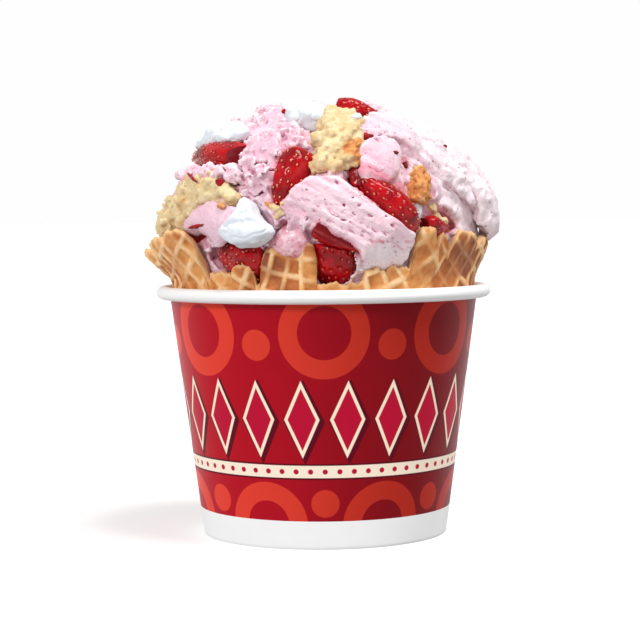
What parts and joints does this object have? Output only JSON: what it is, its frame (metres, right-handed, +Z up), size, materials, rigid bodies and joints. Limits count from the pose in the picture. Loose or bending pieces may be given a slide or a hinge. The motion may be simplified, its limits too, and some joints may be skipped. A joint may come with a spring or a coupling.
{
  "type": "tub of strawberry ice cream in a waffle bowl",
  "caption": "Round tapered paper tub with a rolled rim, holding a torn waffle bowl heaped with strawberry ice cream, cut strawberries, sponge cake and whipped cream.",
  "frame": {"origin": "on the cup's axis, in the plane of the foot that it stands on", "axes": "+Z up along the cup's axis, -Y towards the side seen in the picture, +X to that side's right"},
  "size_m": [0.106, 0.1, 0.1291],
  "materials": {
    "printed_paper": "coated paper, satin, red print with a white rim and foot band",
    "white_board": "uncoated white board",
    "waffle": "baked golden-brown wafer with a square grid",
    "ice_cream": "pale pink, soft sheen, rough torn ridges",
    "strawberry": "wet red skin with small pale seeds",
    "sponge_cake": "open yellow crumb, browned in places",
    "whipped_cream": "smooth, soft white"
  },
  "bodies": {
    "root": {"cup_wall": "printed_paper", "cup_base": "white_board", "waffle_bowl": "waffle", "ice_cream": "ice_cream", "strawberry_left": "strawberry", "strawberry_centre": "strawberry", "strawberry_top": "strawberry", "strawberry_right": "strawberry", "strawberry_low_left": "strawberry", "strawberry_low_centre": "strawberry", "strawberry_low_right": "strawberry", "strawberry_slice_centre": "strawberry", "strawberry_slice_left": "strawberry", "strawberry_coated": "strawberry", "strawberry_back_right": "strawberry", "strawberry_back_low": "strawberry", "strawberry_back": "strawberry", "strawberry_back_left": "strawberry", "strawberry_back_top": "strawberry", "cake_left": "sponge_cake", "cake_low_left": "sponge_cake", "cake_top": "sponge_cake", "cake_right": "sponge_cake", "cake_back": "sponge_cake", "cake_back_left": "sponge_cake", "cream_left": "whipped_cream", "cream_top": "whipped_cream", "cream_centre": "whipped_cream", "cream_back": "whipped_cream", "cream_back_left": "whipped_cream"}
  },
  "joints": []
}
